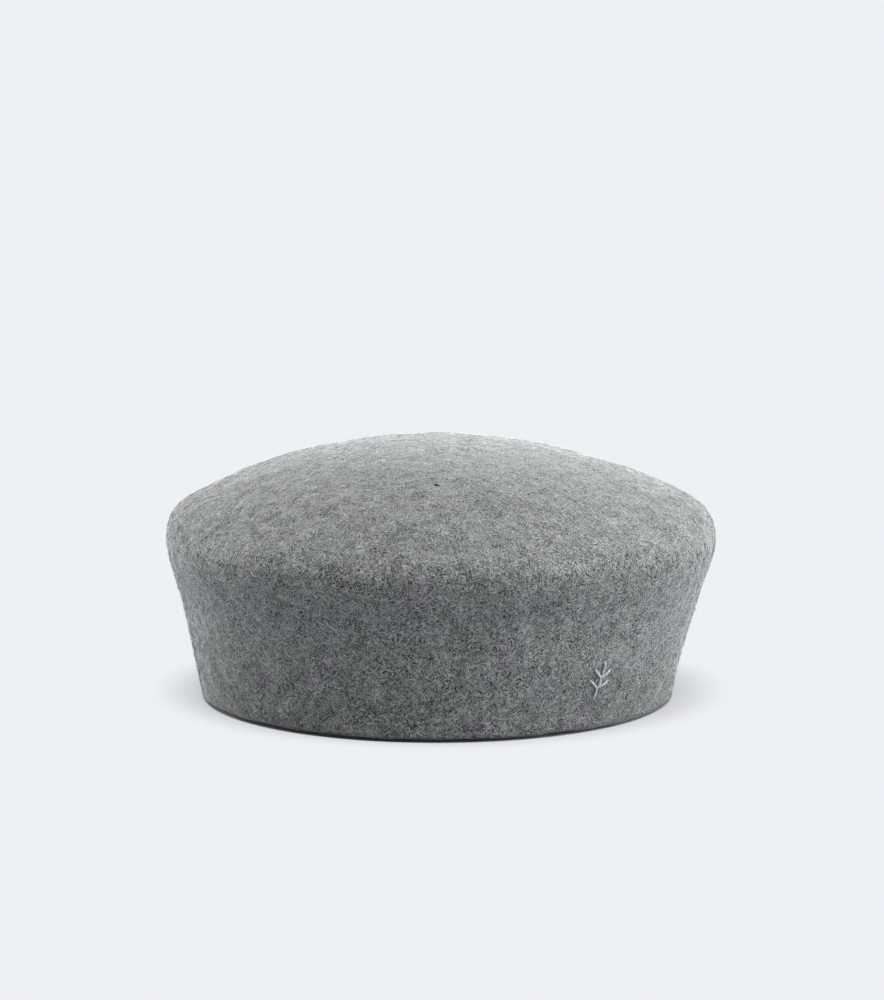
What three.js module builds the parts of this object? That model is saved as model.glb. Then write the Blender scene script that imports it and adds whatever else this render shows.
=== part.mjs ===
// A brimless felt hat: one blocked wool-felt cap with a flared side wall, a soft shoulder and a low dome.
// Millimetres, +Z up, front towards -Y. The origin is under the middle of the widest part, on the surface
// that the hat stands on.
import * as THREE from 'three';

// Driving dimensions of the outer face
const FELT = 2.5; // thickness of the felt all over
const FOOT_WIDTH = 168; // side to side at the head opening
const FOOT_LENGTH = 201; // front to back at the head opening
const HEIGHT = 91.3; // from the foot to the summit of the dome

// The side wall bends outwards a little above its foot, where the opening is held upright.
const FOOT_FLARE = 8; // degrees from upright at the foot
const WALL_FLARE = 15; // degrees from upright where the shoulder begins
const WALL_TOP = { halfWidth: 92, height: 36.8 };

// The dome is a shallow cap of one radius, which the shoulder meets at this slope.
const DOME_RADIUS = 196;
const DOME_EDGE_SLOPE = 26.8; // degrees from level
const SHOULDER_RISE = 11; // how long the wall keeps its flare into the shoulder
const SHOULDER_REACH = 17.7; // how long the dome keeps its slope into the shoulder

// The foot's edge is rounded on both sides and keeps a narrow flat to stand on.
const FOOT_ROUND = 0.8;

// The foot and the summit sit a little to one side of the widest part, as on a hat pulled off its block.
const LEAN = [
  { height: 0, sideways: -1.35 },
  { height: 57, sideways: 0 },
  { height: HEIGHT, sideways: -1.75 },
];

// The plan is oval, longer front to back. Towards the summit it turns round.
const OVAL_FADE = 45; // half width at which most of the extra length is reached

// How finely each stretch is divided
const AROUND = 72;
const STEPS = { wall: 6, shoulder: 11, dome: 9, round: 3 };

const radians = THREE.MathUtils.degToRad;

// The outer face's half section, from the foot up to the summit, as three curves.
function outerSection() {
  const foot = new THREE.Vector2(FOOT_WIDTH / 2, 0);
  const wallTop = new THREE.Vector2(WALL_TOP.halfWidth, WALL_TOP.height);
  const upFoot = new THREE.Vector2(Math.sin(radians(FOOT_FLARE)), Math.cos(radians(FOOT_FLARE)));
  const upWall = new THREE.Vector2(Math.sin(radians(WALL_FLARE)), Math.cos(radians(WALL_FLARE)));
  const rise = wallTop.clone().sub(foot);
  const bendAt = rise.cross(upWall) / upFoot.cross(upWall);
  const bend = foot.clone().addScaledVector(upFoot, bendAt);

  const edge = radians(DOME_EDGE_SLOPE);
  const domeEdge = new THREE.Vector2(
    DOME_RADIUS * Math.sin(edge),
    HEIGHT - DOME_RADIUS * (1 - Math.cos(edge)),
  );
  const outDome = new THREE.Vector2(Math.cos(edge), -Math.sin(edge));
  const shoulder = new THREE.CubicBezierCurve(
    wallTop,
    wallTop.clone().addScaledVector(upWall, SHOULDER_RISE),
    domeEdge.clone().addScaledVector(outDome, SHOULDER_REACH),
    domeEdge,
  );
  const dome = new THREE.EllipseCurve(
    0, HEIGHT - DOME_RADIUS, DOME_RADIUS, DOME_RADIUS, Math.PI / 2 - edge, Math.PI / 2, false,
  );
  return [
    { curve: new THREE.QuadraticBezierCurve(foot, bend, wallTop), steps: STEPS.wall },
    { curve: shoulder, steps: STEPS.shoulder },
    { curve: dome, steps: STEPS.dome },
  ];
}

// Points along the outer face with the outward direction at each, from the foot to the summit.
function outerStations() {
  const stations = [];
  outerSection().forEach(({ curve, steps }, which) => {
    for (let step = which ? 1 : 0; step <= steps; step++) {
      const along = curve.getTangent(step / steps);
      stations.push({
        point: curve.getPoint(step / steps),
        outward: new THREE.Vector2(along.y, -along.x),
      });
    }
  });
  return stations;
}

// The felt's closed section: down the inner face from the summit, round the foot and up the outer face.
function feltSection() {
  const stations = outerStations();
  const outer = stations.map(({ point }) => point.clone());
  const inner = stations.map(({ point, outward }) => point.clone().addScaledVector(outward, -FELT));
  const footRounds = [
    { centre: inner[0].x + FOOT_ROUND, from: Math.PI },
    { centre: outer[0].x - FOOT_ROUND, from: 1.5 * Math.PI },
  ].flatMap(({ centre, from }) => {
    const arc = new THREE.EllipseCurve(centre, FOOT_ROUND, FOOT_ROUND, FOOT_ROUND, from, from + Math.PI / 2);
    return arc.getPoints(STEPS.round);
  });
  inner[inner.length - 1].x = 0;
  outer[outer.length - 1].x = 0;
  return [...inner.slice(1).reverse(), ...footRounds, ...outer.slice(1)];
}

// How far the hat stands to one side at a height, eased between the rows of LEAN.
function leanAt(height) {
  const upper = LEAN.findIndex((row, i) => i > 0 && height <= row.height);
  const [low, high] = upper < 0 ? LEAN.slice(-2) : [LEAN[upper - 1], LEAN[upper]];
  const share = THREE.MathUtils.smoothstep(height, low.height, high.height);
  return THREE.MathUtils.lerp(low.sideways, high.sideways, share);
}

// How much longer than wide the oval is at a half width, on each side of the middle.
function extraLength(halfWidth) {
  const share = (reach) => 1 - Math.exp(-((reach / OVAL_FADE) ** 2));
  const atFoot = (FOOT_LENGTH - FOOT_WIDTH) / 2;
  return (atFoot * share(halfWidth)) / share(FOOT_WIDTH / 2);
}

// Turns a round cap into the oval one: longer front to back, and leaning as LEAN says.
function makeOval(geometry) {
  const place = geometry.getAttribute('position');
  for (let i = 0; i < place.count; i++) {
    const [x, y, z] = [place.getX(i), place.getY(i), place.getZ(i)];
    const halfWidth = Math.hypot(x, y);
    const stretch = halfWidth ? 1 + extraLength(halfWidth) / halfWidth : 1;
    place.setXYZ(i, x + leanAt(z), y * stretch, z);
  }
  geometry.computeVertexNormals();
  return geometry;
}

// The whole hat is one piece of felt, blocked to shape.
function feltBody() {
  const geometry = new THREE.LatheGeometry(feltSection(), AROUND).rotateX(Math.PI / 2);
  const felt = new THREE.MeshStandardMaterial({ color: 0x85898a, roughness: 0.95, metalness: 0 });
  const body = new THREE.Mesh(makeOval(geometry), felt);
  body.name = 'felt_body';
  return body;
}

const hat = new THREE.Group();
hat.name = 'felt_hat';
hat.add(feltBody());

export default hat;
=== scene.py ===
"""Dresses the brimless felt hat: heathered wool felt, its loose fibres, a stitched sprig and a pale studio."""
import logging
import math
from dataclasses import dataclass, field
from enum import Enum

import bpy
import numpy as np
from numpy.typing import NDArray
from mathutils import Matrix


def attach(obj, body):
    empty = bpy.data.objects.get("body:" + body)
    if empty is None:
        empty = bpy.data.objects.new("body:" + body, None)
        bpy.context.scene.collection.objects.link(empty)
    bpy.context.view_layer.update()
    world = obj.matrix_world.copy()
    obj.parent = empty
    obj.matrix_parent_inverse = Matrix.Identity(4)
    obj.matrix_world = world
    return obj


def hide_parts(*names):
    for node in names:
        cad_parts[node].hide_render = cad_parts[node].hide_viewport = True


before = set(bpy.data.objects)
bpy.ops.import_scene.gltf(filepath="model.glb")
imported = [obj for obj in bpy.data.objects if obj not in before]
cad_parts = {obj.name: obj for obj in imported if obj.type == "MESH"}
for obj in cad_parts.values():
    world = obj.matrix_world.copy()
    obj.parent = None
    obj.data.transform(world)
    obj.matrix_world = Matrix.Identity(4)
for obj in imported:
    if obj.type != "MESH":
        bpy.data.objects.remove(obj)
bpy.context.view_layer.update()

Array = NDArray[np.float64]
Colour = tuple[float, float, float]

MM = 0.001
log = logging.getLogger("felt_hat")


# The form of the felt


@dataclass(frozen=True)
class Outline:
    """The outer face's half section as dense samples, from the foot to the summit, in millimetres."""

    reach: Array
    height: Array
    out_reach: Array
    out_height: Array
    arc: Array

    @property
    def length(self) -> float:
        """The length of the half section."""
        return float(self.arc[-1])

    def at(self, arc: Array) -> tuple[Array, Array, Array, Array]:
        """Looks up the section.

        Args:
            arc: distances from the foot along the section.

        Returns:
            The reach and height there, and the outward direction's two parts.
        """
        return tuple(
            np.interp(arc, self.arc, row)
            for row in (self.reach, self.height, self.out_reach, self.out_height)
        )

    def arc_at_height(self, height: float) -> float:
        """The distance along the section at which it stands at a height."""
        return float(np.interp(height, self.height, self.arc))

    def arc_at_reach(self, reach: Array) -> Array:
        """The distance along the section at which the dome has a reach from the axis."""
        widest = int(self.reach.argmax())
        return np.interp(reach, self.reach[widest:][::-1], self.arc[widest:][::-1])


@dataclass(frozen=True)
class FeltForm:
    """The blocked felt's sizes in millimetres and degrees, as the solid has them."""

    foot_half_width: float = 84.0
    foot_half_length: float = 100.5
    height: float = 91.3
    foot_flare: float = 8.0
    wall_flare: float = 15.0
    wall_top: tuple[float, float] = (92.0, 36.8)
    dome_radius: float = 196.0
    dome_edge_slope: float = 26.8
    shoulder_rise: float = 11.0
    shoulder_reach: float = 17.7
    oval_fade: float = 45.0
    lean_heights: tuple[float, ...] = (0.0, 57.0, 91.3)
    lean_sideways: tuple[float, ...] = (-1.35, 0.0, -1.75)
    felt: float = 2.5

    def outline(self, steps: int = 400) -> Outline:
        """Samples the outer half section.

        The wall is a quadratic Bezier curve that turns from the foot's flare to the wall's flare. The shoulder is
        a cubic Bezier curve, tangent to the wall below it and the dome above it. The dome is an arc of one radius.

        Args:
            steps: samples on each of the three curves.

        Returns:
            The section as one run of samples.
        """
        t = np.linspace(0.0, 1.0, steps)[:, None]
        up_foot = np.array([math.sin(math.radians(self.foot_flare)), math.cos(math.radians(self.foot_flare))])
        up_wall = np.array([math.sin(math.radians(self.wall_flare)), math.cos(math.radians(self.wall_flare))])
        foot = np.array([self.foot_half_width, 0.0])
        top = np.array(self.wall_top)
        rise = top - foot
        cross = up_foot[0] * up_wall[1] - up_foot[1] * up_wall[0]
        bend = foot + up_foot * (rise[0] * up_wall[1] - rise[1] * up_wall[0]) / cross
        wall = (1 - t) ** 2 * foot + 2 * t * (1 - t) * bend + t**2 * top

        edge = math.radians(self.dome_edge_slope)
        centre = self.height - self.dome_radius
        dome_edge = np.array([self.dome_radius * math.sin(edge), centre + self.dome_radius * math.cos(edge)])
        near = top + up_wall * self.shoulder_rise
        far = dome_edge + np.array([math.cos(edge), -math.sin(edge)]) * self.shoulder_reach
        shoulder = (1 - t) ** 3 * top + 3 * t * (1 - t) ** 2 * near + 3 * t**2 * (1 - t) * far + t**3 * dome_edge

        slope = edge * (1 - t)
        dome = np.hstack([self.dome_radius * np.sin(slope), centre + self.dome_radius * np.cos(slope)])
        run = np.vstack([wall, shoulder[1:], dome[1:]])
        along = np.gradient(run, axis=0)
        along /= np.linalg.norm(along, axis=1, keepdims=True)
        arc = np.concatenate([[0.0], np.cumsum(np.linalg.norm(np.diff(run, axis=0), axis=1))])
        return Outline(run[:, 0], run[:, 1], along[:, 1], -along[:, 0], arc)

    def extra_length(self, reach: Array) -> Array:
        """How much longer than wide the oval is on each side, at a reach from the axis."""
        at_foot = self.foot_half_length - self.foot_half_width
        share = 1 - np.exp(-((reach / self.oval_fade) ** 2))
        return at_foot * share / (1 - math.exp(-((self.foot_half_width / self.oval_fade) ** 2)))

    def lean(self, height: Array) -> Array:
        """How far the hat stands to one side at a height, eased between the known heights."""
        rows = np.interp(height, self.lean_heights, np.arange(len(self.lean_heights)))
        low = np.floor(rows)
        share = rows - low
        return np.interp(low + share**2 * (3 - 2 * share), np.arange(len(self.lean_sideways)), self.lean_sideways)

    def turned(self, turn: Array, reach: Array, height: Array) -> Array:
        """Turns points of the section about the upright axis and makes them oval.

        The point is at reach*sin(turn) to the side and reach*cos(turn) to the front. Its distance to the front is
        then stretched by 1 + extra/reach, and the lean is added to its side.

        Args:
            turn: angles in radians, zero at the front and growing towards +X.
            reach: distances from the axis.
            height: heights above the foot.

        Returns:
            Points with a last axis of three, in millimetres.
        """
        turn, reach, height = np.broadcast_arrays(turn, reach, height)
        stretch = 1 + self.extra_length(np.maximum(reach, 1e-6)) / np.maximum(reach, 1e-6)
        return np.stack(
            [reach * np.sin(turn) + self.lean(height), -reach * np.cos(turn) * stretch, height],
            axis=-1,
        )


@dataclass(frozen=True)
class Unevenness:
    """A smooth random field over space, made as a sum of plane waves with random directions and phases."""

    seed: int
    shortest: float
    longest: float
    waves: int = 48

    def at(self, points: Array) -> Array:
        """Evaluates the field: the waves' sines added up and scaled to a spread of about one.

        Args:
            points: places in millimetres, with a last axis of three.

        Returns:
            One value for each point.
        """
        rng = np.random.default_rng(self.seed)
        heading = rng.normal(size=(self.waves, 3))
        heading /= np.linalg.norm(heading, axis=1, keepdims=True)
        length = np.exp(rng.uniform(math.log(self.shortest), math.log(self.longest), self.waves))
        phase = rng.uniform(0.0, 2 * math.pi, self.waves)
        total = np.zeros(points.shape[:-1])
        for row in range(self.waves):
            total += np.sin(points @ (heading[row] * (2 * math.pi / length[row])) + phase[row])
        return total / math.sqrt(self.waves / 2)


@dataclass(frozen=True)
class FeltFace:
    """The felt's outer face with its unevenness: the one surface that every piece of the hat lies on."""

    form: FeltForm
    outline: Outline
    fine: Unevenness = Unevenness(seed=11, shortest=4.0, longest=11.0)
    broad: Unevenness = Unevenness(seed=12, shortest=22.0, longest=70.0)
    fine_depth: float = 0.07
    broad_depth: float = 0.16
    # How far the foot's edge stands off the ground, by the turn from the front
    gap_turns: tuple[float, ...] = (-180.0, -104.0, -92.0, -78.0, -64.0, -45.0, -30.0, -12.0, 10.0, 40.0, 58.0, 74.0, 87.0, 180.0)
    gap_heights: tuple[float, ...] = (0.0, 0.0, 0.3, 0.85, 1.25, 1.35, 1.3, 1.15, 1.05, 0.9, 0.65, 0.35, 0.0, 0.0)
    gap_fades_by: float = 9.0
    # The soft edge round the front of the top: how far out, at which heights, how wide and how far round
    edge_out: float = 2.6
    swell_height: float = 55.0
    swell_widths: tuple[float, float] = (15.0, 6.5)
    hollow_height: float = 68.0
    hollow_widths: tuple[float, float] = (6.5, 10.0)
    edge_turns: tuple[float, float] = (48.0, 84.0)

    def front_edge(self, turn: Array, height: Array) -> Array:
        """How far the felt stands out of the plain form at the soft edge round the front of the top.

        Over the height it is a bell below the edge less a bell above it. Each bell is exp(-(distance/width)^2)
        and is wider on the side away from the edge. Round the hat it is whole at the front and eases to nothing.

        Args:
            turn: angles from the front in radians.
            height: heights above the foot.

        Returns:
            Millimetres outwards.
        """
        def bell(middle: float, widths: tuple[float, float]) -> Array:
            width = np.where(height < middle, widths[0], widths[1])
            return np.exp(-(((height - middle) / width) ** 2))

        degrees = np.abs((np.degrees(turn) + 180.0) % 360.0 - 180.0)
        low, high = self.edge_turns
        share = np.clip((high - degrees) / (high - low), 0.0, 1.0)
        whole = share**2 * (3 - 2 * share)
        return self.edge_out * whole * (bell(self.swell_height, self.swell_widths) - bell(self.hollow_height, self.hollow_widths))

    def gap(self, turn: Array, height: Array) -> Array:
        """How far the felt is raised at a turn and a height: the gap under the foot, fading out up the wall."""
        degrees = (np.degrees(turn) + 180.0) % 360.0 - 180.0
        foot = np.interp(degrees, self.gap_turns, self.gap_heights)
        return foot * np.exp(-np.maximum(height, 0.0) / self.gap_fades_by)

    def relief(self, points: Array) -> Array:
        """How far the felt stands proud of the smooth form at some points of it."""
        return self.fine_depth * self.fine.at(points) + self.broad_depth * self.broad.at(points)

    def place(self, turn: Array, arc: Array, lift: Array | float = 0.0) -> Array:
        """Places points on the outer face.

        Args:
            turn: angles from the front in radians.
            arc: distances from the foot along the section.
            lift: how far above the felt the points stand.

        Returns:
            Points in millimetres.
        """
        reach, height, out_reach, out_height = self.outline.at(arc)
        proud = lift + self.relief(self.form.turned(turn, reach, height)) + self.front_edge(turn, height)
        raised = height + self.gap(turn, height)
        return self.form.turned(turn, np.maximum(reach + proud * out_reach, 0.0), raised + proud * out_height)

    def steps(self, turn: Array, arc: Array) -> tuple[Array, Array]:
        """Millimetres travelled for each radian of turn, and for each millimetre of arc, at some places."""
        reach, height, _, _ = self.outline.at(arc)
        here = self.form.turned(turn, reach, height)
        beside = self.form.turned(turn + 1e-3, reach, height)
        reach_up, height_up, _, _ = self.outline.at(arc + 0.2)
        above = self.form.turned(turn, reach_up, height_up)
        return (
            np.linalg.norm(beside - here, axis=-1) / 1e-3,
            np.maximum(np.linalg.norm(above - here, axis=-1) / 0.2, 0.5),
        )

    def strewn(self, count: int, rng: np.random.Generator, lowest: float) -> tuple[Array, Array]:
        """Strews places evenly over the outer face.

        The face is cut into small cells. Cells are drawn in proportion to their area, and each place is then
        jittered within its cell.

        Args:
            count: how many places.
            rng: the source of chance.
            lowest: the arc below which no place is put.

        Returns:
            The places' turns and arcs.
        """
        turns = np.linspace(0.0, 2 * math.pi, 361)
        arcs = np.linspace(lowest, self.outline.length, 221)
        reach, height, _, _ = self.outline.at(arcs)
        grid = self.form.turned(turns[None, :], reach[:, None], height[:, None])
        across = grid[:-1, 1:] - grid[:-1, :-1]
        along = grid[1:, :-1] - grid[:-1, :-1]
        area = np.linalg.norm(np.cross(across, along), axis=-1).ravel()
        cell = rng.choice(area.size, size=count, p=area / area.sum())
        row, column = np.divmod(cell, turns.size - 1)
        turn = turns[column] + rng.uniform(0.0, turns[1], count)
        arc = arcs[row] + rng.uniform(0.0, arcs[1] - arcs[0], count)
        return turn, np.minimum(arc, self.outline.length - 0.02)

    def shifted(self, turn: Array, arc: Array, across: Array, along: Array) -> tuple[Array, Array]:
        """Moves places over the face by distances across it and up it.

        On the wall and the shoulder the distances are divided by the face's own steps. On the dome, where the
        turns crowd together, the place is moved in the flat plan instead and its new turn and arc read off it.

        Args:
            turn: angles from the front in radians.
            arc: distances from the foot along the section.
            across: millimetres to move round the hat.
            along: millimetres to move up the section.

        Returns:
            The new turns and arcs.
        """
        per_turn, per_arc = self.steps(turn, arc)
        wall_turn = turn + across / np.maximum(per_turn, 1.0)
        wall_arc = arc + along / per_arc
        reach, _, _, _ = self.outline.at(arc)
        stretch = 1 + self.form.extra_length(np.maximum(reach, 1e-6)) / np.maximum(reach, 1e-6)
        side = reach * np.sin(turn) + across
        front = reach * np.cos(turn) + along / stretch
        on_dome = (reach < self.outline.reach[-1] + 78.0) & (arc > self.outline.arc_at_height(72.0))
        dome_arc = self.outline.arc_at_reach(np.hypot(side, front))
        new_turn = np.where(on_dome, np.arctan2(side, front), wall_turn)
        new_arc = np.where(on_dome, dome_arc, wall_arc)
        return new_turn, np.clip(new_arc, 0.8, self.outline.length)


# Making pieces


def new_piece(name: str, vertices: Array, faces: list[NDArray[np.int64]], smooth: bool = True) -> bpy.types.Object:
    """Makes a mesh object at the origin, with its place in its mesh.

    Args:
        name: the piece's name.
        vertices: points in millimetres.
        faces: arrays of triangles and quads, as vertex numbers.
        smooth: whether the faces are shaded smooth.

    Returns:
        The linked object.
    """
    mesh = bpy.data.meshes.new(name)
    sizes = np.concatenate([np.full(len(rows), rows.shape[1]) for rows in faces])
    corners = np.concatenate([rows.ravel() for rows in faces])
    mesh.vertices.add(len(vertices))
    mesh.vertices.foreach_set("co", (np.asarray(vertices) * MM).astype(np.float32).ravel())
    mesh.loops.add(len(corners))
    mesh.loops.foreach_set("vertex_index", corners.astype(np.int32))
    mesh.polygons.add(len(sizes))
    starts = np.concatenate([[0], np.cumsum(sizes)[:-1]])
    mesh.polygons.foreach_set("loop_start", starts.astype(np.int32))
    mesh.polygons.foreach_set("use_smooth", np.full(len(sizes), smooth))
    mesh.update(calc_edges=True)
    mesh.validate()
    piece = bpy.data.objects.new(name, mesh)
    bpy.context.scene.collection.objects.link(piece)
    return piece


def closed_rings(rings: Array) -> tuple[Array, list[NDArray[np.int64]]]:
    """Joins rings of points into a closed skin, with a single point at each end.

    Each ring's points are joined to the next ring's by quads. The first and last rings are drawn together into
    one point each, which triangles join to the rings beside them.

    Args:
        rings: points as rings by points round each ring by three.

    Returns:
        The points and the faces.
    """
    count, around = rings.shape[:2]
    inner = rings[1:-1].reshape(-1, 3)
    vertices = np.vstack([inner, rings[0].mean(axis=0), rings[-1].mean(axis=0)])
    here = np.arange(around)
    beside = (here + 1) % around
    row = (np.arange(count - 3) * around)[:, None]
    quads = np.stack([row + here, row + beside, row + around + beside, row + around + here], axis=-1)
    last = (count - 3) * around
    first_pole = np.full(around, len(inner))
    last_pole = np.full(around, len(inner) + 1)
    fans = np.vstack(
        [
            np.stack([first_pole, beside, here], axis=-1),
            np.stack([last + here, last + beside, last_pole], axis=-1),
        ]
    )
    return vertices, [quads.reshape(-1, 4), fans]


# Finishes


class ShaderTools:
    """Builds node groups and materials from short calls."""

    def __init__(self, tree: bpy.types.NodeTree) -> None:
        """Keeps the tree that nodes are put in."""
        self.tree = tree

    def node(self, kind: str, **settings: object) -> bpy.types.Node:
        """Adds a node and sets its options.

        Args:
            kind: the node's type.
            **settings: its options by name.

        Returns:
            The node.
        """
        made = self.tree.nodes.new(kind)
        for name, value in settings.items():
            setattr(made, name, value)
        return made

    def feed(self, socket: bpy.types.NodeSocket, value: object) -> None:
        """Links an output to a socket, or sets the socket to a plain value."""
        if isinstance(value, bpy.types.NodeSocket):
            self.tree.links.new(value, socket)
        else:
            socket.default_value = value

    def maths(self, operation: str, *values: object, clamp: bool = False) -> bpy.types.NodeSocket:
        """A Math node's result for up to three values."""
        made = self.node("ShaderNodeMath", operation=operation, use_clamp=clamp)
        for socket, value in zip(made.inputs, values):
            self.feed(socket, value)
        return made.outputs[0]

    def ramp(self, value: object, low: float, high: float, to_low: float = 0.0, to_high: float = 1.0) -> bpy.types.NodeSocket:
        """A value eased from one range into another, and held at both ends."""
        made = self.node("ShaderNodeMapRange", interpolation_type="SMOOTHSTEP")
        for name, number in (("Value", value), ("From Min", low), ("From Max", high), ("To Min", to_low), ("To Max", to_high)):
            self.feed(made.inputs[name], number)
        return made.outputs["Result"]

    def noise(self, vector: object, scale: float, detail: float = 2.0, roughness: float = 0.5) -> bpy.types.Node:
        """A noise texture read at a vector."""
        made = self.node("ShaderNodeTexNoise", noise_dimensions="3D")
        self.feed(made.inputs["Vector"], vector)
        self.feed(made.inputs["Scale"], scale)
        self.feed(made.inputs["Detail"], detail)
        self.feed(made.inputs["Roughness"], roughness)
        return made

    def blend(self, share: object, first: object, second: object, mode: str = "MIX") -> bpy.types.NodeSocket:
        """Two colours blended by a share."""
        made = self.node("ShaderNodeMix", data_type="RGBA", blend_type=mode)
        self.feed(made.inputs[0], share)
        self.feed(made.inputs[6], first if isinstance(first, bpy.types.NodeSocket) else (*first, 1.0))
        self.feed(made.inputs[7], second if isinstance(second, bpy.types.NodeSocket) else (*second, 1.0))
        return made.outputs[2]


def new_group(name: str, inputs: dict[str, tuple[str, float]], outputs: dict[str, str]) -> tuple[bpy.types.NodeTree, ShaderTools, dict[str, bpy.types.NodeSocket], bpy.types.Node]:
    """Makes a shader node group with named sockets.

    Args:
        name: the group's name.
        inputs: socket names to their socket type and first value.
        outputs: socket names to their socket type.

    Returns:
        The group, its tools, its inputs by name and its output node.
    """
    group = bpy.data.node_groups.new(name, "ShaderNodeTree")
    for label, (kind, first) in inputs.items():
        socket = group.interface.new_socket(label, in_out="INPUT", socket_type=kind)
        if kind == "NodeSocketFloat":
            socket.default_value = first
    for label, kind in outputs.items():
        group.interface.new_socket(label, in_out="OUTPUT", socket_type=kind)
    tools = ShaderTools(group)
    entry = tools.node("NodeGroupInput")
    leave = tools.node("NodeGroupOutput")
    return group, tools, {label: entry.outputs[label] for label in inputs}, leave


@dataclass(frozen=True)
class PaintedFootShade:
    """Painted shade near the floor: the wool's colour is darker low on the wall, more so at its sides, and most at the
    foot's edge, where shade falls.
    """

    heights: tuple[float, float] = (30.0, 4.0)
    sides: tuple[float, float] = (15.0, 65.0)
    at_middle: float = 0.25
    edge_heights: tuple[float, float] = (2.7, 0.9)
    at_edge: float = 1.4

    def at(self, points: Array) -> Array:
        """How much painted shade there is: eased down the wall, times a share that is eased out to the sides, plus the
        edge's.

        Args:
            points: places in millimetres.

        Returns:
            Amounts from nothing to one, and more at the foot's edge.
        """
        def eased(value: Array, low: float, high: float) -> Array:
            share = np.clip((value - low) / (high - low), 0.0, 1.0)
            return share**2 * (3 - 2 * share)

        # Painted shade: darker colour low on the wall and at the foot's edge, standing in for the shade near the floor
        out = self.at_middle + (1 - self.at_middle) * eased(np.abs(points[..., 0]), *self.sides)
        edge = self.at_edge * eased(points[..., 2], *self.edge_heights)
        return eased(points[..., 2], *self.heights) * out + edge

    def mask(self, tools: ShaderTools, parts: bpy.types.Node) -> bpy.types.NodeSocket:
        """The same amount as a value, from a place's separate parts."""
        out = tools.ramp(tools.maths("ABSOLUTE", parts.outputs["X"]), *self.sides, self.at_middle, 1.0)
        edge = tools.ramp(parts.outputs["Z"], *self.edge_heights, 0.0, self.at_edge)
        return tools.maths("MULTIPLY_ADD", tools.ramp(parts.outputs["Z"], *self.heights), out, edge)


class FibreGrain:
    """The matted fibres as a pattern: streaks along six directions in space, thin across and long along."""

    golden = (1 + math.sqrt(5)) / 2

    @classmethod
    def group(cls) -> bpy.types.NodeTree:
        """Builds the node group once.

        Each direction has a noise that is squeezed along it, so that the noise's cells become rods. The highest
        parts of all six are the light fibres, the lowest are the dark ones. A slow noise bends the rods first.

        Returns:
            The group, with a place in millimetres in, and light, dark and relief masks out.
        """
        found = bpy.data.node_groups.get("fibre_grain")
        if found:
            return found
        group, tools, given, leave = new_group(
            "fibre_grain",
            {
                "Place": ("NodeSocketVector", 0.0),
                "Length": ("NodeSocketFloat", 3.0),
                "Width": ("NodeSocketFloat", 0.35),
                "Curl": ("NodeSocketFloat", 0.7),
            },
            {"Light": "NodeSocketFloat", "Dark": "NodeSocketFloat", "Relief": "NodeSocketFloat"},
        )
        slow = tools.noise(given["Place"], 0.32, detail=1.0)
        centred = tools.node("ShaderNodeVectorMath", operation="SUBTRACT")
        tools.feed(centred.inputs[0], slow.outputs["Color"])
        centred.inputs[1].default_value = (0.5, 0.5, 0.5)
        bent = tools.node("ShaderNodeVectorMath", operation="SCALE")
        tools.feed(bent.inputs[0], centred.outputs[0])
        tools.feed(bent.inputs["Scale"], tools.maths("MULTIPLY", given["Curl"], 4.0))
        place = tools.node("ShaderNodeVectorMath", operation="ADD")
        tools.feed(place.inputs[0], given["Place"])
        tools.feed(place.inputs[1], bent.outputs[0])
        squeeze = tools.node("ShaderNodeCombineXYZ")
        across = tools.maths("DIVIDE", 1.0, given["Width"])
        tools.feed(squeeze.inputs[0], across)
        tools.feed(squeeze.inputs[1], across)
        tools.feed(squeeze.inputs[2], tools.maths("DIVIDE", 1.0, given["Length"]))

        light: bpy.types.NodeSocket | None = None
        dark: bpy.types.NodeSocket | None = None
        total: bpy.types.NodeSocket | None = None
        headings = [
            (0.0, 1.0, cls.golden), (0.0, -1.0, cls.golden), (1.0, cls.golden, 0.0),
            (-1.0, cls.golden, 0.0), (cls.golden, 0.0, 1.0), (cls.golden, 0.0, -1.0),
        ]
        for row, heading in enumerate(headings):
            norm = math.sqrt(sum(part * part for part in heading))
            x, y, z = (part / norm for part in heading)
            turn = tools.node("ShaderNodeVectorRotate", rotation_type="AXIS_ANGLE")
            turn.inputs["Center"].default_value = (0.0, 0.0, 0.0)
            turn.inputs["Axis"].default_value = (y, -x, 0.0)
            turn.inputs["Angle"].default_value = math.acos(z)
            tools.feed(turn.inputs["Vector"], place.outputs[0])
            moved = tools.node("ShaderNodeVectorMath", operation="MULTIPLY_ADD")
            tools.feed(moved.inputs[0], turn.outputs[0])
            tools.feed(moved.inputs[1], squeeze.outputs[0])
            moved.inputs[2].default_value = (17.3 * row, 5.1 * row, 9.7 * row)
            value = tools.noise(moved.outputs[0], 1.0, detail=1.0).outputs["Fac"]
            light = value if light is None else tools.maths("MAXIMUM", light, value)
            dark = value if dark is None else tools.maths("MINIMUM", dark, value)
            total = value if total is None else tools.maths("ADD", total, value)
        tools.feed(leave.inputs["Light"], tools.ramp(light, 0.60, 0.70))
        tools.feed(leave.inputs["Dark"], tools.ramp(dark, 0.40, 0.30))
        tools.feed(leave.inputs["Relief"], tools.ramp(total, 2.7, 3.3))
        return group


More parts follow.
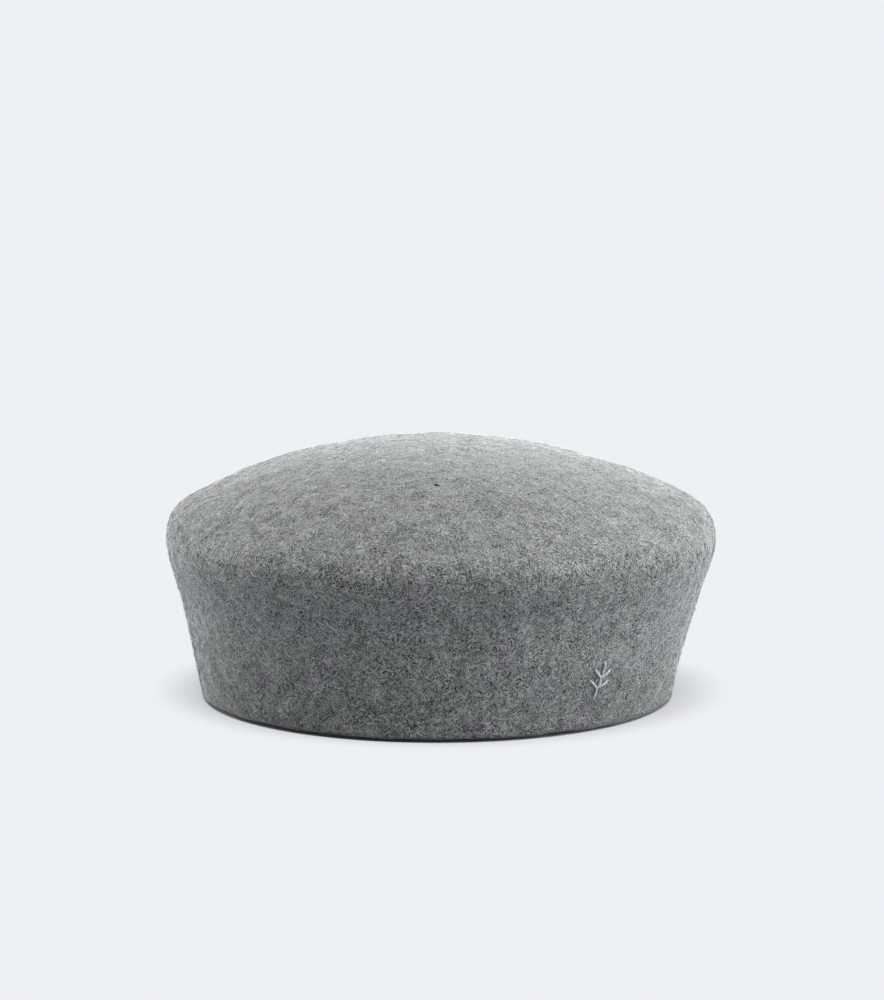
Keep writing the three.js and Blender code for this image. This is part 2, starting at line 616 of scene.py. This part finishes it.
class WoolBlotches:
    """The uneven mixing of the wools as a pattern: soft patches of tone and of two faint casts."""

    @classmethod
    def group(cls) -> bpy.types.NodeTree:
        """Builds the node group once.

        Returns:
            The group, with a place in millimetres in, and tone, green and violet masks out.
        """
        found = bpy.data.node_groups.get("wool_blotches")
        if found:
            return found
        group, tools, given, leave = new_group(
            "wool_blotches",
            {"Place": ("NodeSocketVector", 0.0), "Size": ("NodeSocketFloat", 6.0)},
            {"Tone": "NodeSocketFloat", "Green": "NodeSocketFloat", "Violet": "NodeSocketFloat"},
        )
        scale = tools.maths("DIVIDE", 1.0, given["Size"])
        tone = tools.noise(given["Place"], 1.0, detail=3.0, roughness=0.6)
        tools.feed(tone.inputs["Scale"], scale)
        cast = tools.noise(given["Place"], 1.0, detail=2.0)
        tools.feed(cast.inputs["Scale"], tools.maths("MULTIPLY", scale, 0.45))
        tools.feed(leave.inputs["Tone"], tools.ramp(tone.outputs["Fac"], 0.40, 0.60))
        tools.feed(leave.inputs["Green"], tools.ramp(cast.outputs["Fac"], 0.48, 0.34))
        tools.feed(leave.inputs["Violet"], tools.ramp(cast.outputs["Fac"], 0.54, 0.68))
        return group


@dataclass(frozen=True)
class FeltFinish:
    """Heathered grey wool felt: dark and pale fibres matted into a mid grey, with a soft sheen and painted shade low
    on the wall and at the foot's edge.
    """

    name: str = "heathered_wool_felt"
    mid: Colour = (0.118, 0.123, 0.124)
    dark: Colour = (0.018, 0.021, 0.022)
    pale: Colour = (0.34, 0.35, 0.348)
    green: Colour = (0.945, 1.012, 0.983)
    violet: Colour = (1.0, 0.977, 1.032)
    roughness: float = 0.95
    sheen: float = 0.4
    sheen_roughness: float = 0.3
    relief: float = 0.00011
    # Painted shade: the colour is darkened low on the wall and most at the foot's edge
    painted_shade: PaintedFootShade = PaintedFootShade()
    painted_shade_factor: float = 0.66

    def material(self) -> bpy.types.Material:
        """Builds the material.

        Returns:
            A material on Object coordinates.
        """
        material = bpy.data.materials.new(self.name)
        material.use_nodes = True
        tools = ShaderTools(material.node_tree)
        shader = material.node_tree.nodes["Principled BSDF"]
        shader.inputs["Roughness"].default_value = self.roughness
        shader.inputs["Specular IOR Level"].default_value = 0.15
        shader.inputs["Sheen Weight"].default_value = self.sheen
        shader.inputs["Sheen Roughness"].default_value = self.sheen_roughness
        shader.inputs["Sheen Tint"].default_value = (0.95, 0.97, 1.0, 1.0)

        spot = tools.node("ShaderNodeTexCoord")
        place = tools.node("ShaderNodeVectorMath", operation="SCALE")
        tools.feed(place.inputs[0], spot.outputs["Object"])
        place.inputs["Scale"].default_value = 1.0 / MM
        grain = tools.node("ShaderNodeGroup", node_tree=FibreGrain.group())
        tools.feed(grain.inputs["Place"], place.outputs[0])
        patch = tools.node("ShaderNodeGroup", node_tree=WoolBlotches.group())
        tools.feed(patch.inputs["Place"], place.outputs[0])

        split = tools.node("ShaderNodeSeparateXYZ")
        tools.feed(split.inputs[0], place.outputs[0])
        vivid = tools.ramp(split.outputs["Z"], 56.0, 66.0, 1.0, 0.75)
        mixed = tools.maths("MULTIPLY_ADD", grain.outputs["Relief"], 0.55, tools.maths("MULTIPLY", patch.outputs["Tone"], 0.45))
        level = tools.maths("MULTIPLY_ADD", tools.maths("SUBTRACT", mixed, 0.5), vivid, 0.5)
        ground = tools.blend(level, tuple(c * 0.2 for c in self.mid), tuple(c * 1.8 for c in self.mid))
        strands = tools.maths("MULTIPLY", vivid, 0.85)
        darker = tools.blend(tools.maths("MULTIPLY", grain.outputs["Dark"], strands), ground, self.dark)
        heather = tools.blend(tools.maths("MULTIPLY", grain.outputs["Light"], strands), darker, self.pale)
        greened = tools.blend(patch.outputs["Green"], heather, self.green, mode="MULTIPLY")
        tinted = tools.blend(patch.outputs["Violet"], greened, self.violet, mode="MULTIPLY")
        # Painted shade near the floor: the heathered colour is multiplied darker low on the wall and at the foot's
        # edge
        shade = tools.maths("POWER", self.painted_shade_factor, self.painted_shade.mask(tools, split))
        painted_shaded_colour = tools.blend(1.0, tinted, shade, mode="MULTIPLY")
        tools.feed(shader.inputs["Base Color"], painted_shaded_colour)

        bump = tools.node("ShaderNodeBump")
        bump.inputs["Strength"].default_value = 1.0
        bump.inputs["Distance"].default_value = self.relief
        tools.feed(bump.inputs["Height"], grain.outputs["Relief"])
        tools.feed(shader.inputs["Normal"], bump.outputs[0])
        return material


class WoolTone(Enum):
    """The dyed wools that the felt is mixed from, dark to pale."""

    CHARCOAL = "charcoal"
    SLATE_GREEN = "slate_green"
    SLATE_VIOLET = "slate_violet"
    MID = "mid"
    LIGHT = "light"
    PALE = "pale"


@dataclass(frozen=True)
class FibreFinish:
    """One dyed wool as loose fibres."""

    tone: WoolTone
    colour: Colour
    roughness: float = 0.85
    sheen: float = 0.35
    translucence: float = 0.9
    glow_depth: float = 0.00018

    def material(self) -> bpy.types.Material:
        """Builds the fibres' material, whose values are the same all over."""
        material = bpy.data.materials.new(f"wool_{self.tone.value}")
        material.use_nodes = True
        shader = material.node_tree.nodes["Principled BSDF"]
        shader.inputs["Base Color"].default_value = (*self.colour, 1.0)
        shader.inputs["Roughness"].default_value = self.roughness
        shader.inputs["Specular IOR Level"].default_value = 0.2
        shader.inputs["Sheen Weight"].default_value = self.sheen
        shader.inputs["Sheen Roughness"].default_value = 0.3
        shader.inputs["Subsurface Weight"].default_value = self.translucence
        shader.inputs["Subsurface Radius"].default_value = (1.0, 1.0, 1.0)
        shader.inputs["Subsurface Scale"].default_value = self.glow_depth
        return material


@dataclass(frozen=True)
class ThreadFinish:
    """Pale blue-grey embroidery thread with a satin lustre and fine strands."""

    name: str = "embroidery_thread"
    colour: Colour = (0.38, 0.42, 0.43)
    shade: Colour = (0.25, 0.29, 0.30)
    roughness: float = 0.5

    def material(self) -> bpy.types.Material:
        """Builds the material, with fine strands from a stretched noise.

        Returns:
            A material on Object coordinates.
        """
        material = bpy.data.materials.new(self.name)
        material.use_nodes = True
        tools = ShaderTools(material.node_tree)
        shader = material.node_tree.nodes["Principled BSDF"]
        shader.inputs["Sheen Weight"].default_value = 0.3
        spot = tools.node("ShaderNodeTexCoord")
        strands = tools.noise(spot.outputs["Object"], 5200.0, detail=2.0)
        tools.feed(shader.inputs["Base Color"], tools.blend(tools.ramp(strands.outputs["Fac"], 0.35, 0.65), self.shade, self.colour))
        tools.feed(shader.inputs["Roughness"], tools.ramp(strands.outputs["Fac"], 0.3, 0.7, self.roughness + 0.12, self.roughness - 0.08))
        return material


# Pieces of the hat


@dataclass
class FeltBody:
    """The whole felt cap: outer face, rounded foot edge and inner face, in one closed skin."""

    face: FeltFace
    finish: FeltFinish = field(default_factory=FeltFinish)
    around: int = 360
    outer_rows: int = 104
    inner_rows: int = 30
    edge_rows: int = 7
    edge_round: float = 1.15

    def section(self) -> tuple[Array, Array, Array, Array]:
        """The closed section, from the inner summit round the foot's edge to the outer summit.

        The inner face is the outer one moved in by the felt's thickness. The edge is two quarter rounds.

        Returns:
            The rows' reach and height, and the outward direction's two parts.
        """
        outline, felt, bend = self.face.outline, self.face.form.felt, self.edge_round
        outer_arc = np.linspace(bend, outline.length, self.outer_rows)
        inner_arc = np.linspace(outline.length, bend + 0.4, self.inner_rows)
        reach, height, out_reach, out_height = outline.at(outer_arc)
        outer = np.stack([reach, height, out_reach, out_height])
        reach, height, out_reach, out_height = outline.at(inner_arc)
        inner = np.stack([reach - felt * out_reach, height - felt * out_height, -out_reach, -out_height])
        foot_out, foot_in = outer[0, 0], inner[0, -1]
        angle = np.linspace(0.0, math.pi / 2, self.edge_rows)
        turn_in = np.stack(
            [foot_in + bend - bend * np.cos(angle), bend - bend * np.sin(angle), -np.cos(angle), -np.sin(angle)]
        )
        turn_out = np.stack(
            [foot_out - bend + bend * np.sin(angle), bend - bend * np.cos(angle), np.sin(angle), -np.cos(angle)]
        )
        rows = np.hstack([inner, turn_in, turn_out[:, :-1], outer])
        return tuple(rows)

    def build(self) -> bpy.types.Object:
        """Makes the felt body's mesh and dresses it.

        Returns:
            The piece.
        """
        reach, height, out_reach, out_height = self.section()
        turn = np.linspace(0.0, 2 * math.pi, self.around, endpoint=False)[None, :]
        smooth = self.face.form.turned(turn, reach[:, None], height[:, None])
        side = np.where(np.arange(len(height)) < self.inner_rows, -1.0, 1.0)[:, None]
        proud = self.face.relief(smooth) + side * self.face.front_edge(turn, height[:, None])
        raised = height[:, None] + self.face.gap(turn, height[:, None])
        rings = self.face.form.turned(
            turn,
            np.maximum(reach[:, None] + proud * out_reach[:, None], 0.0),
            np.maximum(raised + proud * out_height[:, None], 0.0),
        )
        piece = new_piece("felt_skin", *closed_rings(rings))
        piece.data.materials.append(self.finish.material())
        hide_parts("felt_body")
        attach(piece, "root")
        return piece


@dataclass(frozen=True)
class MattedFleck:
    """A small dark knot of wool caught in the nap on the front of the top."""

    turn: float = 0.0
    reach: float = 59.7
    half_sizes: tuple[float, float, float] = (1.0, 0.34, 0.3)
    lift: float = 0.14
    crumple: float = 0.35
    rows: int = 13
    around: int = 14

    def skin(self, face: FeltFace) -> tuple[Array, list[NDArray[np.int64]]]:
        """Makes the knot's closed skin.

        It is an oval ball on the face: -cos(t) across, sin(t)cos(a) up the face and sin(t)sin(a) outwards, each
        times its half size. The two last are crumpled by a fine random field.

        Args:
            face: the felt that it lies on.

        Returns:
            The vertices and the faces.
        """
        t = np.linspace(0.0, math.pi, self.rows)[:, None]
        a = np.linspace(0.0, 2 * math.pi, self.around, endpoint=False)[None, :]
        length, width, height = self.half_sizes
        across = -length * np.cos(t) * np.ones_like(a)
        ball = np.stack([across, np.sin(t) * np.cos(a), np.sin(t) * np.sin(a)], axis=-1)
        rough = 1 + self.crumple * Unevenness(seed=31, shortest=0.5, longest=1.4).at(ball)
        arc = face.outline.arc_at_reach(np.array(self.reach))
        turns, arcs = face.shifted(
            np.full_like(across, math.radians(self.turn)), np.full_like(across, float(arc)),
            across, width * rough * ball[..., 1],
        )
        return closed_rings(face.place(turns, arcs, self.lift + height * rough * ball[..., 2]))


@dataclass
class LooseFibres:
    """The felt's matted and flying fibres, as slim closed spindles that lie on the outer face."""

    face: FeltFace
    count: int = 64000
    seed: int = 5
    shortest: float = 1.2
    longest: float = 4.0
    thinnest: float = 0.05
    thickest: float = 0.11
    most_bend: float = 1.3
    flying_share: float = 0.38
    flying_fineness: float = 0.62
    flying_height: float = 0.85
    # How high each wool's fibres lie, in the order of the finishes: the dark ones lie deep in the nap
    lying: tuple[float, ...] = (0.0, 0.02, 0.02, 0.09, 0.19, 0.22)
    top_heights: tuple[float, float] = (56.0, 66.0)
    top_evenness: float = 0.15
    # Towards the summit the nap is finer and lies flatter
    summit_heights: tuple[float, float] = (62.0, 84.0)
    summit_fineness: float = 0.62
    # Painted shade: darker wools are picked more often low on the wall and at the foot's edge
    painted_shade: PaintedFootShade = PaintedFootShade()
    painted_shade_shift: float = 0.13
    fleck: MattedFleck = MattedFleck()
    shares: dict[WoolTone, float] = field(
        default_factory=lambda: {
            WoolTone.CHARCOAL: 0.17,
            WoolTone.SLATE_GREEN: 0.20,
            WoolTone.MID: 0.24,
            WoolTone.LIGHT: 0.24,
            WoolTone.PALE: 0.15,
        }
    )
    finishes: tuple[FibreFinish, ...] = (
        FibreFinish(WoolTone.CHARCOAL, (0.017, 0.019, 0.020)),
        FibreFinish(WoolTone.SLATE_GREEN, (0.044, 0.051, 0.049)),
        FibreFinish(WoolTone.SLATE_VIOLET, (0.050, 0.050, 0.054)),
        FibreFinish(WoolTone.MID, (0.120, 0.125, 0.125)),
        FibreFinish(WoolTone.LIGHT, (0.260, 0.268, 0.267)),
        FibreFinish(WoolTone.PALE, (0.440, 0.450, 0.447)),
    )

    def paths(
        self, rng: np.random.Generator, turn: Array, arc: Array, tone: NDArray[np.int64]
    ) -> tuple[Array, NDArray[np.bool_]]:
        """Lays each fibre on the face as four points.

        A fibre is an arc of a circle in the face's own plane, with a random heading and bend. Its two middle
        points stand a little above the felt and its ends sink into it. Some light and pale fibres fly: they lift
        one end.

        Args:
            rng: the source of chance.
            turn: the middle of each fibre, as an angle from the front.
            arc: the middle of each fibre, as a distance from the foot.
            tone: the number of each fibre's wool.

        Returns:
            Points as fibres by four by three, and which fibres fly.
        """
        count = len(turn)
        length = np.exp(rng.uniform(math.log(self.shortest), math.log(self.longest), count))[:, None]
        heading = rng.uniform(0.0, 2 * math.pi, count)[:, None]
        bend = rng.uniform(-self.most_bend, self.most_bend, count)[:, None]
        bend = np.where(np.abs(bend) < 0.05, 0.05, bend)
        along = np.array([-0.5, -1 / 6, 1 / 6, 0.5])[None, :]
        across = length / bend * (np.sin(heading + bend * along) - np.sin(heading))
        upward = -length / bend * (np.cos(heading + bend * along) - np.cos(heading))
        spots = self.face.shifted(
            np.repeat(turn[:, None], 4, axis=1), np.repeat(arc[:, None], 4, axis=1), across, upward
        )
        lying = (rng.uniform(0.1, 1.0, count) * np.array(self.lying)[tone] * self.fineness(arc))[:, None]
        lift = lying * np.array([0.0, 1.0, 1.0, 0.0]) - 0.05 * np.array([1.0, 0.0, 0.0, 1.0])
        chance = self.flying_share * self.fineness(arc) ** 4
        flying = (rng.uniform(size=count) < chance) & (tone >= list(WoolTone).index(WoolTone.LIGHT))
        height = (rng.uniform(0.25, self.flying_height, count) * self.fineness(arc) ** 3)[:, None]
        lift = np.where(flying[:, None], height * np.array([-0.1, 0.25, 0.62, 1.0]), lift)
        points = self.face.place(*spots, lift)
        points[..., 2] = np.maximum(points[..., 2], 0.05)
        return points, flying

    def fineness(self, arc: Array) -> Array:
        """How thick and high the fibres are for their kind: one on the wall, and less towards the summit."""
        _, height, _, _ = self.face.outline.at(arc)
        return np.interp(height, self.summit_heights, (1.0, self.summit_fineness))

    def spindles(self, paths: Array, thickness: Array) -> tuple[Array, list[NDArray[np.int64]]]:
        """Gives each path a body: a point at each end and a triangle round each middle point.

        Args:
            paths: points as fibres by four by three.
            thickness: each fibre's half thickness.

        Returns:
            The vertices and the triangles.
        """
        middle = paths[:, 1:3]
        along = np.stack([paths[:, 2] - paths[:, 0], paths[:, 3] - paths[:, 1]], axis=1)
        along /= np.maximum(np.linalg.norm(along, axis=-1, keepdims=True), 1e-9)
        out = middle - np.array([0.0, 0.0, 20.0])
        out /= np.linalg.norm(out, axis=-1, keepdims=True)
        side = np.cross(along, out)
        side /= np.maximum(np.linalg.norm(side, axis=-1, keepdims=True), 1e-9)
        up = np.cross(side, along)
        angle = np.array([0.5, 0.5 + 2 / 3, 0.5 + 4 / 3]) * math.pi
        ring = middle[:, :, None] + thickness[:, None, None, None] * (
            np.cos(angle)[:, None] * side[:, :, None] + 0.7 * np.sin(angle)[:, None] * up[:, :, None]
        )
        vertices = np.concatenate([paths[:, :1], ring.reshape(len(paths), 6, 3), paths[:, 3:]], axis=1)
        pattern = np.array(
            [
                [0, 2, 1], [0, 3, 2], [0, 1, 3],
                [1, 2, 5], [1, 5, 4], [2, 3, 6], [2, 6, 5], [3, 1, 4], [3, 4, 6],
                [7, 4, 5], [7, 5, 6], [7, 6, 4],
            ]
        )
        triangles = pattern[None] + (np.arange(len(paths)) * 8)[:, None, None]
        return vertices.reshape(-1, 3), [triangles.reshape(-1, 3)]

    def tones(self, rng: np.random.Generator, points: Array) -> NDArray[np.int64]:
        """Picks each fibre's wool: by chance, swayed by soft patches of tone and of cast, more evenly on the top, and
        towards darker wools low on the wall as painted shade.

        Args:
            rng: the source of chance.
            points: the middle of each fibre.

        Returns:
            The number of each fibre's tone in the order of the finishes.
        """
        patch = Unevenness(seed=21, shortest=2.2, longest=16.0).at(points)
        cast = Unevenness(seed=22, shortest=14.0, longest=45.0).at(points)
        top = np.clip((points[:, 2] - self.top_heights[0]) / (self.top_heights[1] - self.top_heights[0]), 0.0, 1.0)
        draw = 0.5 + (rng.uniform(size=len(points)) - 0.5 + 0.35 * patch) * (1 - self.top_evenness * top)
        # Painted shade near the floor: darker wools low on the wall and at the foot's edge
        draw = draw - self.painted_shade_shift * self.painted_shade.at(points)
        edges = np.cumsum(list(self.shares.values()))[:-1]
        pick = np.searchsorted(edges, draw)
        order = [tone for tone in WoolTone if tone is not WoolTone.SLATE_VIOLET]
        numbers = np.array([list(WoolTone).index(tone) for tone in order])[pick]
        violet = (numbers == list(WoolTone).index(WoolTone.SLATE_GREEN)) & (cast + rng.normal(size=len(points)) * 0.5 > 0)
        return np.where(violet, list(WoolTone).index(WoolTone.SLATE_VIOLET), numbers)

    def build(self) -> list[bpy.types.Object]:
        """Makes one piece of fibres for each wool.

        Returns:
            The pieces.
        """
        rng = np.random.default_rng(self.seed)
        turn, arc = self.face.strewn(self.count, rng, lowest=1.6)
        tone = self.tones(rng, self.face.place(turn, arc))
        paths, flying = self.paths(rng, turn, arc, tone)
        thickness = rng.uniform(self.thinnest, self.thickest, self.count) * self.fineness(arc)
        thickness = np.where(flying, thickness * self.flying_fineness, thickness)
        pieces = []
        for number, finish in enumerate(self.finishes):
            chosen = tone == number
            vertices, faces = self.spindles(paths[chosen], thickness[chosen])
            if finish.tone is WoolTone.CHARCOAL:
                knot, skin = self.fleck.skin(self.face)
                faces += [rows + len(vertices) for rows in skin]
                vertices = np.vstack([vertices, knot])
            piece = new_piece(f"fibres_{finish.tone.value}", vertices, faces)
            piece.data.materials.append(finish.material())
            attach(piece, "root")
            pieces.append(piece)
        return pieces


@dataclass
class StitchedSprig:
    """A small sprig in straight stitches of twisted thread, low on the wall beside the front."""

    face: FeltFace
    finish: ThreadFinish = field(default_factory=ThreadFinish)
    turn: float = 38.0
    height: float = 17.6
    thread: float = 0.42
    sunk: float = 0.40
    proud: float = 0.50
    steps: int = 26
    around: int = 14
    twist: float = 2.4
    # Each stitch from one hole in the felt to the next, in millimetres across and up from the middle
    stitches: tuple[tuple[float, float, float, float], ...] = (
        (-1.6, -6.4, -0.9, -2.6),
        (-0.9, -2.9, 0.1, 0.9),
        (0.1, 0.6, 0.7, 3.8),
        (-0.9, -2.7, -4.6, 0.3),
        (-0.8, -2.5, 3.3, -0.7),
        (0.1, 0.8, -3.2, 4.0),
        (0.2, 0.9, 4.0, 3.2),
        (0.7, 3.6, 0.5, 6.6),
    )

    def tube(self, ends: tuple[float, float, float, float]) -> Array:
        """One stitch as rings of points.

        The thread runs straight across the face and rises from its holes in a low arch. Its section is a circle
        swollen and pinched twice round, and turns as it runs, as two twisted strands do.

        Args:
            ends: where the stitch starts and ends.

        Returns:
            Points as rings by points round by three.
        """
        start = np.array(ends[:2])
        finish = np.array(ends[2:])
        t = np.linspace(0.0, 1.0, self.steps)
        spot = start + t[:, None] * (finish - start)
        middle_arc = self.face.outline.arc_at_height(self.height)
        turns, arcs = self.face.shifted(
            np.full(self.steps, math.radians(self.turn)), np.full(self.steps, middle_arc), spot[:, 0], spot[:, 1]
        )
        lift = -self.sunk + (self.sunk + self.proud) * np.sin(math.pi * t) ** 0.45
        path = self.face.place(turns, arcs, lift)
        out = self.face.place(turns, arcs, lift + 1.0) - path
        along = np.gradient(path, axis=0)
        along /= np.linalg.norm(along, axis=1, keepdims=True)
        side = np.cross(along, out)
        side /= np.linalg.norm(side, axis=1, keepdims=True)
        up = np.cross(side, along)
        angle = np.linspace(0.0, 2 * math.pi, self.around, endpoint=False)
        length = float(np.linalg.norm(finish - start))
        spin = 2 * math.pi * t[:, None] * length / self.twist
        radius = self.thread * (1 + 0.16 * np.cos(2 * (angle[None, :] - spin)))
        radius[0] = radius[-1] = 0.0
        return path[:, None] + radius[..., None] * (
            np.cos(angle)[None, :, None] * side[:, None] + np.sin(angle)[None, :, None] * up[:, None]
        )

    def build(self) -> bpy.types.Object:
        """Makes all the stitches as one piece.

        Returns:
            The piece.
        """
        vertices: list[Array] = []
        quads: list[NDArray[np.int64]] = []
        fans: list[NDArray[np.int64]] = []
        base = 0
        for stitch in self.stitches:
            points, (four, three) = closed_rings(self.tube(stitch)[:, ::-1])
            vertices.append(points)
            quads.append(four + base)
            fans.append(three + base)
            base += len(points)
        piece = new_piece("stitched_sprig", np.vstack(vertices), [np.vstack(quads), np.vstack(fans)])
        piece.data.materials.append(self.finish.material())
        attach(piece, "root")
        return piece


# The studio


@dataclass(frozen=True)
class SoftLight:
    """A far, wide light: where it comes from, how wide it looks and how strong it is."""

    name: str
    turn: float
    elevation: float
    width: float
    strength: float
    colour: Colour = (1.0, 1.0, 1.0)

    def build(self) -> bpy.types.Object:
        """Makes the light, turned so that it shines from its turn round the hat and its elevation."""
        lamp = bpy.data.lights.new(self.name, "SUN")
        lamp.energy = self.strength
        lamp.angle = math.radians(self.width)
        lamp.color = self.colour
        made = bpy.data.objects.new(self.name, lamp)
        made.rotation_euler = (math.radians(90.0 - self.elevation), 0.0, math.radians(self.turn))
        bpy.context.scene.collection.objects.link(made)
        return made


@dataclass
class Studio:
    """The pale floor, the soft lights and the camera at the photograph's angle."""

    backdrop: Colour = (0.8550, 0.8714, 0.9047)
    floor_colour: Colour = (0.33, 0.336, 0.349)
    glow_by_foot: float = 0.5
    floor_radius: float = 40.0
    sky: float = 0.05
    camera_place: tuple[float, float, float] = (0.00035, -1.100, 0.1923)
    camera_pitch: float = 0.112
    lens: float = 111.96
    lights: tuple[SoftLight, ...] = (
        SoftLight("top_light", turn=0.0, elevation=75.0, width=60.0, strength=4.3, colour=(1.0, 1.005, 0.965)),
        SoftLight("back_light", turn=180.0, elevation=15.0, width=50.0, strength=1.85),
        SoftLight("right_back_light", turn=135.0, elevation=5.0, width=50.0, strength=5.1),
        SoftLight("right_light", turn=90.0, elevation=8.0, width=50.0, strength=5.3),
        SoftLight("left_back_light", turn=-129.0, elevation=3.0, width=50.0, strength=7.6),
    )

    def camera(self) -> bpy.types.Object:
        """Makes the camera and makes it the scene's own."""
        lens = bpy.data.cameras.new("photo_camera")
        lens.sensor_fit = "AUTO"
        lens.sensor_width = 36.0
        lens.lens = self.lens
        lens.clip_end = 100.0
        made = bpy.data.objects.new("photo_camera", lens)
        made.location = self.camera_place
        made.rotation_euler = (math.pi / 2 - self.camera_pitch, 0.0, 0.0)
        bpy.context.scene.collection.objects.link(made)
        bpy.context.scene.camera = made
        return made

    def floor(self) -> bpy.types.Object:
        """Makes the floor: a plain pale disc that glows, so that shadows show only close to the foot.

        The glow is whole away from the hat, less beside the foot and left out inside the foot's oval.

        Returns:
            The floor.
        """
        turn = np.linspace(0.0, 2 * math.pi, 96, endpoint=False)
        edge = np.stack([np.cos(turn), np.sin(turn), np.zeros_like(turn)], axis=1) * self.floor_radius / MM
        floor = new_piece("studio_floor", edge, [np.arange(96)[None, :]], smooth=False)
        material = bpy.data.materials.new("pale_floor")
        material.use_nodes = True
        tools = ShaderTools(material.node_tree)
        shader = material.node_tree.nodes["Principled BSDF"]
        shader.inputs["Base Color"].default_value = (*self.floor_colour, 1.0)
        shader.inputs["Roughness"].default_value = 1.0
        shader.inputs["Specular IOR Level"].default_value = 0.0
        glow = tools.node("ShaderNodeEmission")
        glow.inputs["Color"].default_value = (*self.backdrop, 1.0)
        inside = self.from_oval(tools, (-0.00135, 0.0), (0.0837, 0.1002))
        beside = self.from_oval(tools, (0.0, 0.012), (0.084, 0.100))
        whole = tools.ramp(beside, 1.0, 1.28, self.glow_by_foot, 1.0)
        mixer = tools.node("ShaderNodeMixShader")
        tools.feed(mixer.inputs[0], tools.maths("MULTIPLY", tools.ramp(inside, 0.994, 1.004, 0.028, 1.0), whole))
        tools.feed(mixer.inputs[1], shader.outputs[0])
        tools.feed(mixer.inputs[2], glow.outputs[0])
        tools.feed(material.node_tree.nodes["Material Output"].inputs["Surface"], mixer.outputs[0])
        floor.data.materials.append(material)
        return floor

    def from_oval(self, tools: ShaderTools, centre: tuple[float, float], halves: tuple[float, float]) -> bpy.types.NodeSocket:
        """How far a place on the floor is from an oval's middle, as a share of the oval's own size.

        Args:
            tools: the material's tools.
            centre: the oval's middle in metres.
            halves: its half width and half length.

        Returns:
            A value that is one on the oval.
        """
        spot = tools.node("ShaderNodeTexCoord")
        moved = tools.node("ShaderNodeVectorMath", operation="MULTIPLY_ADD")
        tools.feed(moved.inputs[0], spot.outputs["Object"])
        moved.inputs[1].default_value = (1 / halves[0], 1 / halves[1], 0.0)
        moved.inputs[2].default_value = (-centre[0] / halves[0], -centre[1] / halves[1], 0.0)
        away = tools.node("ShaderNodeVectorMath", operation="LENGTH")
        tools.feed(away.inputs[0], moved.outputs[0])
        return away.outputs["Value"]

    def sky_light(self) -> None:
        """Sets a faint even light from all round, and shows the backdrop's colour to the camera."""
        world = bpy.data.worlds.new("studio")
        world.use_nodes = True
        bpy.context.scene.world = world
        tools = ShaderTools(world.node_tree)
        path = tools.node("ShaderNodeLightPath")
        faint = tools.node("ShaderNodeBackground")
        faint.inputs["Color"].default_value = (self.sky, self.sky, self.sky * 1.03, 1.0)
        seen = world.node_tree.nodes["Background"]
        seen.inputs["Color"].default_value = (*self.backdrop, 1.0)
        mixer = tools.node("ShaderNodeMixShader")
        tools.feed(mixer.inputs[0], path.outputs["Is Camera Ray"])
        tools.feed(mixer.inputs[1], faint.outputs[0])
        tools.feed(mixer.inputs[2], seen.outputs[0])
        tools.feed(world.node_tree.nodes["World Output"].inputs["Surface"], mixer.outputs[0])

    def build(self) -> None:
        """Sets up the camera, the floor, the lights and the view's colours."""
        self.camera()
        self.floor()
        self.sky_light()
        for light in self.lights:
            light.build()
        bpy.context.scene.view_settings.view_transform = "Standard"
        bpy.context.scene.view_settings.look = "None"
        bpy.context.scene.cycles.denoising_prefilter = "NONE"


def report(pieces: list[bpy.types.Object]) -> None:
    """Logs each piece with its number of triangles."""
    for piece in pieces:
        corners = np.empty(len(piece.data.polygons), dtype=np.int32)
        piece.data.polygons.foreach_get("loop_total", corners)
        log.info("%s: %d triangles", piece.name, int((corners - 2).sum()))


def main() -> None:
    """Builds the studio and the hat's pieces in order."""
    logging.basicConfig(level=logging.INFO, format="%(name)s %(message)s")
    Studio().build()
    form = FeltForm()
    face = FeltFace(form, form.outline())
    pieces = [FeltBody(face).build()]
    pieces += LooseFibres(face).build()
    pieces.append(StitchedSprig(face).build())
    report(pieces)


if __name__ == "__main__":
    main()
